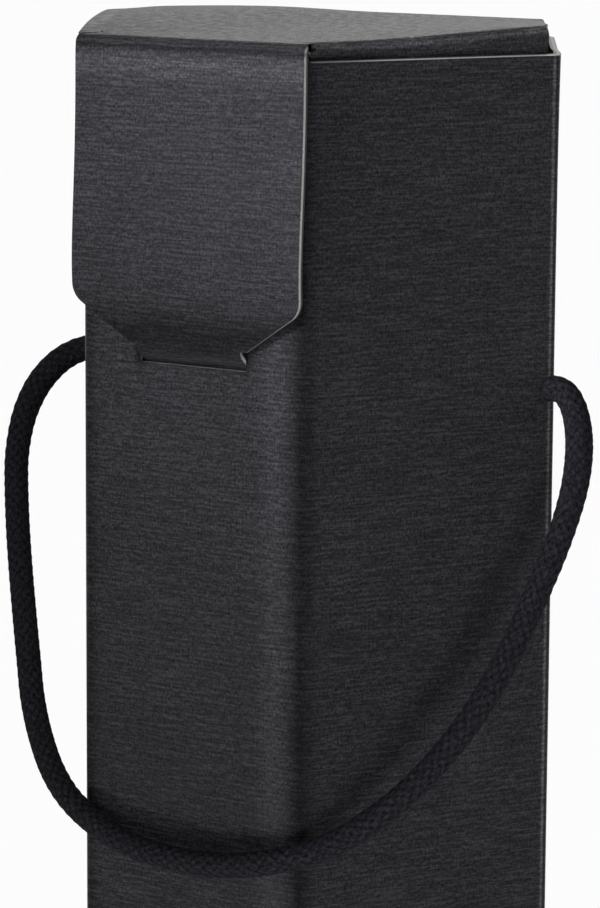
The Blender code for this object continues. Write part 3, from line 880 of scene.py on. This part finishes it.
# %% Panels and creases of the base tab
build_tab(
    base_path, base_axes, base_outline, base_marks,
    [("base_board", "base", "base_panel", base_back_bend[1] + margin, base_front_bend[0] - margin,
      2 * mm, 41, None),
     ("base_tuck_board", "base_tuck_flap", "base_tuck", base_front_bend[1] + margin, base_end,
      1 * mm, 25, None)],
    [("base_back_crease", base_back_bend, "sleeve", "base"),
     ("base_front_crease", base_front_bend, "base", "base_tuck_flap")], 0.22 * mm)

# %% Path and outline of the base's dust flaps
base_dust_run = 30 * mm
base_dust_path, base_dust_bends = folded_path(
    (side_apothem, -dust_pivot - margin), (0, 1), [(margin, quarter), (base_dust_run, 0)])
base_dust_bend = base_dust_bends[0]
base_dust_end = base_dust_path[-1, 0]
# The crease is grooved, with painted shade in it.
base_dust_marks = marks_at(sum(base_dust_bend) / 2, (0, 0.5, 0.14, 0.6))
front_taper, back_taper = 10 * mm, 7 * mm
dust_tip_length, dust_tip_depth = 4 * mm, 3 * mm


def inward_share(t):
    return np.clip((t - base_dust_bend[1]) / base_dust_run, 0, 1)


def base_dust_front(t):
    return -dust_front_end + front_taper * inward_share(t) + tip_inset(
        t, base_dust_end, dust_tip_length, dust_tip_depth)


def base_dust_back(t):
    return dust_back_end - back_taper * inward_share(t) - tip_inset(
        t, base_dust_end, dust_tip_length, dust_tip_depth)


# %% Dust flaps of the base
dust_flaps(
    "base", lambda outward: (outward, (0, 0, -1)), base_dust_path, base_dust_bend,
    1.5 * mm, (base_dust_front, base_dust_back), base_dust_marks, lambda side: None)

# %% [markdown]
# The handle is a soft braided cord, 5 mm thick. It comes out of a corner hole, hangs in a loop that
# leans on the front corners of the box, and goes back in at the other side. Its route is the CAD
# model's: points in a plane that leans forward, given sideways from the middle and down the plane,
# as shares of the box's half width and of the loop's drop.

# %% Route of the cord
cord_radius = 2.5 * mm
loop_drop = 107.5 * mm
touch_share = 0.94
lean_gap = 0.6 * mm
loop_lean = math.asin((half_depth + cord_radius + lean_gap) / (touch_share * loop_drop))
inner_end = 49.763 * mm
loop_route = np.array([
    (-1.010, 0.000), (-1.080, 0.008), (-1.160, 0.024), (-1.226, 0.052), (-1.275, 0.095),
    (-1.296, 0.144), (-1.294, 0.195), (-1.270, 0.256), (-1.228, 0.316), (-1.159, 0.400),
    (-1.080, 0.488), (-0.996, 0.577), (-0.911, 0.665), (-0.837, 0.740), (-0.750, 0.809),
    (-0.644, 0.874), (-0.519, 0.925), (-0.352, 0.966), (-0.157, 0.992), (0.056, 1.000),
    (0.259, 0.992), (0.444, 0.967), (0.620, 0.926), (0.769, 0.865), (0.898, 0.789),
    (1.000, 0.702), (1.070, 0.619), (1.122, 0.526), (1.159, 0.423), (1.189, 0.321),
    (1.200, 0.233), (1.193, 0.165), (1.165, 0.100), (1.118, 0.046), (1.062, 0.011),
    (1.008, 0.000)]) * (half_width, loop_drop)
route = np.vstack([[-inner_end, 0], loop_route, [inner_end, 0]])
down = np.array([0, -math.sin(loop_lean), -math.cos(loop_lean)])
route = route[:, :1] * np.array([1.0, 0, 0]) + route[:, 1:] * down + np.array([0, 0, hole_z])
print("the loop leans forward by", round(math.degrees(loop_lean), 1), "degrees")


points_per_step = 24


def smooth_route(points, spacing):
    """Smooth curve through the points, read off at an even spacing. Between two points it is the
    cubic whose slope at each is half the step from the point before to the point after."""
    ends = np.vstack([2 * points[0] - points[1], points, 2 * points[-1] - points[-2]])
    before, start, end, after = ends[:-3], ends[1:-2], ends[2:-1], ends[3:]
    t = np.linspace(0, 1, points_per_step, endpoint=False)[:, None, None]
    curve = (
        2 * start + (end - before) * t + (2 * before - 5 * start + 4 * end - after) * t ** 2
        + (3 * (start - end) + after - before) * t ** 3) / 2
    curve = np.vstack([curve.transpose(1, 0, 2).reshape(-1, 3), points[-1]])
    travelled = np.concatenate([[0], np.cumsum(np.linalg.norm(np.diff(curve, axis=0), axis=1))])
    stations = np.linspace(0, travelled[-1], int(travelled[-1] / spacing) + 1)
    places = [np.interp(stations, travelled, curve[:, k]) for k in range(3)]
    return np.stack(places, axis=1), stations


# %% Braid
plaits = 8
braid_lay = 1.25 * mm
braid_height = 0.28 * mm
half_round_share = 0.55


def braid(angle, distance):
    """Height of a braid's surface, 0 to 1. Strands wind both ways. With p and q equal to
    plaits * a / 2 pi plus and minus l / 2 lay, a strand has a half round section across frac(p) or
    frac(q), and dips under every second strand that it meets."""
    p = plaits * angle / (2 * math.pi) + distance / (2 * braid_lay)
    q = plaits * angle / (2 * math.pi) - distance / (2 * braid_lay)
    first, second = (np.sqrt(np.clip(1 - (2 * (turns % 1) - 1) ** 2, 0, 1)) for turns in (p, q))
    over = np.sin(math.pi * q) * (-1.0) ** np.floor(p)
    under = -np.sin(math.pi * p) * (-1.0) ** np.floor(q)
    height = np.maximum(
        half_round_share * first + (1 - half_round_share) * over,
        half_round_share * second + (1 - half_round_share) * under)
    return np.clip(height, 0, 1)


# %% Tube with a braided surface
cap_length = 1.5 * mm
start_side = (0.0, 0.31, 0.95)


def frame_along(line):
    """Two unit vectors square to the line at each of its points, carried along without twist."""
    ahead = np.gradient(line, axis=0)
    ahead /= np.linalg.norm(ahead, axis=1)[:, None]
    side = np.cross(ahead[0], start_side)
    sides = []
    for direction in ahead:
        side = side - direction * (side @ direction)
        side = side / np.linalg.norm(side)
        sides.append(side)
    return np.array(sides), np.cross(ahead, sides)


def braided_tube(name, line, stations, radius, around):
    """Tube round a line, P + (R - height + height * braid) (n cos a + b sin a), where n and b are
    the frame along the line. The ends are closed with a rounded cap."""
    sides, others = frame_along(line)
    angle = np.linspace(0, 2 * math.pi, around, endpoint=False)
    surface = braid(angle[None, :], stations[:, None])
    fade = np.clip(np.minimum(stations, stations[-1] - stations) / cap_length, 0, 1)[:, None]
    thick = np.broadcast_to(radius, stations.shape)[:, None]
    reach = (thick - braid_height + braid_height * surface) * np.sqrt(1 - (1 - fade) ** 2 * 0.99)
    rings = (
        line[:, None, :] + reach[..., None] * (
            sides[:, None, :] * np.cos(angle)[None, :, None]
            + others[:, None, :] * np.sin(angle)[None, :, None]))
    rows = len(line)
    row, column = np.meshgrid(np.arange(rows - 1), np.arange(around), indexing="ij")
    following = (column + 1) % around
    faces = np.stack([
        row * around + column, row * around + following, (row + 1) * around + following,
        (row + 1) * around + column], axis=-1).reshape(-1, 4)
    ring = np.arange(around)
    last_ring = (rows - 1) * around + ring
    first_centre, last_centre = np.full(around, rows * around), np.full(around, rows * around + 1)
    caps = np.concatenate([
        np.stack([first_centre, np.roll(ring, -1), ring], axis=1),
        np.stack([last_centre, last_ring, np.roll(last_ring, -1)], axis=1)])
    points = np.vstack([rings.reshape(-1, 3), line[0], line[-1]])
    piece = new_piece(name, points.tolist(), faces.tolist() + caps.tolist(), cord_cloth)
    keep_point_value(piece.data, "strand", np.concatenate([surface.ravel(), [0, 0]]))
    corner_turns = np.stack([column, column + 1, column + 1, column], axis=-1)
    corner_rows = np.stack([row, row, row + 1, row + 1], axis=-1)
    places = np.stack([
        stations[corner_rows.ravel()],
        corner_turns.ravel() / around * 2 * math.pi * thick[0, 0]], axis=1)
    keep_sheet_places(piece.data, np.vstack([places, np.zeros((len(caps) * 3, 2))]))
    return piece


# %% Cloth of the cord
cord_cloth, tree = new_material("black_braid")
yarn = sheet_noise(tree, (1300, 1900), 3)
fluff = sheet_noise(tree, (500, 700), 3)
# The colour follows the braid's height, so the hollows between the strands are painted dark as
# shade.
strand_colour = ramp(tree, point_value(tree, "strand"), [
    (0.15, (0.0086, 0.0084, 0.0103)), (0.95, (0.0360, 0.0348, 0.0423))])
strand_colour = speckled(tree, strand_colour, yarn, 0.45, 1.6)
strand_colour = speckled(tree, strand_colour, fluff, 0.8, 1.2)
dress(tree, strand_colour, 0.95, 0.03, bumped(tree, yarn, 0.12 * mm))

# %% Handle
line, stations = smooth_route(route, 0.36 * mm)
from_end = np.minimum(stations, stations[-1] - stations)
swelling_at, swelling_reach = 22 * mm, 12 * mm
swelling = 0.22 * mm * np.exp(-((from_end - swelling_at) / swelling_reach) ** 2)
handle = braided_tube("handle_braid", line, stations, 2.6 * mm + swelling, 72)
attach(handle, "handle")
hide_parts("handle_cord")
print("the cord's free length is", round(stations[-1], 4))


# %% Stopper knots
coil_radius_mm, coil_pitch_mm, coil_turns = 4.25, 4.35, 3.1


def knot_line(side):
    """Centre line of a stopper knot: in along X, round in a tight bight, then back over itself in
    a coil, and off in a short tail."""
    x_in = np.linspace(49.5, 35.0, 6)
    straight = np.stack([x_in, 0 * x_in, 0 * x_in], axis=1)
    bight = np.array([(32.6, 0.6, -0.3), (30.9, 2.0, -1.2), (31.2, 3.9, -1.4)])
    a = np.linspace(0, coil_turns * 2 * math.pi, 34)
    coil = np.stack([
        33.4 + a / (2 * math.pi) * coil_pitch_mm, coil_radius_mm * np.cos(a),
        coil_radius_mm * np.sin(a)], axis=1)
    tail = np.array([(46.4, 3.6, 6.2), (44.5, 4.8, 8.6), (41.5, 5.4, 10.0), (38.0, 5.2, 10.8)])
    points = np.vstack([straight, bight, coil, tail]) * mm
    return points * (side, 1, 1) + np.array([0, 0, hole_z])


for side, word in ((-1, "left"), (1, "right")):
    line, stations = smooth_route(knot_line(side), 0.6 * mm)
    knot = braided_tube("knot_braid_" + word, line, stations, 2.15 * mm, 48)
    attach(knot, "handle")
    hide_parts("cord_knot_" + word)

# %% Facts of the cord
cord_line, cord_stations = smooth_route(route, 1.5 * mm)
print("the cord's declared length is", round(float(cord_stations[-1]), 4))

# %% [markdown]
# The picture's background is plain white. The floor and the world look white to the camera and in
# mirrored rays, which also gives the lid its pale gloss, while the scattered light of the room is
# dark, so the black panels stay black and the floor keeps a faint shadow.

# %% Floor
def white_rays(tree):
    """1 for rays from the camera and for mirrored or refracted rays, 0 for scattered light."""
    rays = tree.nodes.new("ShaderNodeLightPath").outputs
    mirrored = calculated(tree, "MAXIMUM", rays["Is Glossy Ray"], rays["Is Transmission Ray"])
    return calculated(tree, "MAXIMUM", rays["Is Camera Ray"], mirrored)


floor_white, tree = new_material("white_floor")
matt_white = dress(tree, (0.82, 0.82, 0.82, 1), 0.9)
glow = tree.nodes.new("ShaderNodeEmission")
put(tree, 1.0, glow.inputs["Strength"])
blend_in = tree.nodes.new("ShaderNodeMixShader")
put(tree, times(tree, white_rays(tree), 0.97), blend_in.inputs["Fac"])
put(tree, matt_white, blend_in.inputs[1])
put(tree, glow.outputs["Emission"], blend_in.inputs[2])
put(tree, blend_in.outputs["Shader"], tree.nodes["Material Output"].inputs["Surface"])
floor_reach, floor_lines = 12.0, 9
x, y = np.meshgrid(*[np.linspace(-floor_reach, floor_reach, floor_lines)] * 2)
points = np.stack([x, y, 0 * x], axis=-1).reshape(-1, 3)
floor = new_piece("floor", points.tolist(), grid_cells(*x.shape).tolist(), floor_white)

# %% World
world = bpy.data.worlds.new("studio")
bpy.context.scene.world = world
world.use_nodes = True
tree = world.node_tree
room_grey, white = (0.12, 0.12, 0.126, 1), (1, 1, 1, 1)
seen = mixed(tree, "MIX", white_rays(tree), room_grey, white)
put(tree, seen, tree.nodes["Background"].inputs["Color"])

# %% [markdown]
# Four lamps. The key lamp is a narrow beam from the left, on the flap and the front panel. The back
# lamp rims the lid and the far edge with warm light. The table lamp stands low on the right, where
# a pale table would throw light on the side panel, and the low lamp lifts the foot of the front.

# %% Lamps
def lamp(name, place, target, size, power, colour=(1, 1, 1), spread=180):
    data = bpy.data.lights.new(name, "AREA")
    data.shape = "SQUARE"
    data.size = size
    data.energy = power
    data.color = colour
    data.spread = math.radians(spread)
    item = bpy.data.objects.new(name, data)
    bpy.context.scene.collection.objects.link(item)
    item.location = place
    item.rotation_euler = (Vector(target) - Vector(place)).to_track_quat("-Z", "Y").to_euler()


cool, warm = (0.95, 0.96, 1.0), (1.0, 0.97, 0.90)
lamp("key_lamp", (-0.28, -0.76, 0.52), (0.04, -0.05, 0.392), 0.12, 0.149, cool, 23)
lamp("back_lamp", (-0.55, 1.1, 0.95), (0, 0, 0.35), 0.5, 0.95, warm)
lamp("table_lamp", (0.441, -0.471, 0.09), (0.04, -0.025, 0.19), 0.20, 1.12)
lamp("low_lamp", (-0.20, -0.40, 0.02), (0.0, -0.05, 0.10), 0.10, 0.045, spread=50)
bpy.context.scene.view_settings.view_transform = "Standard"
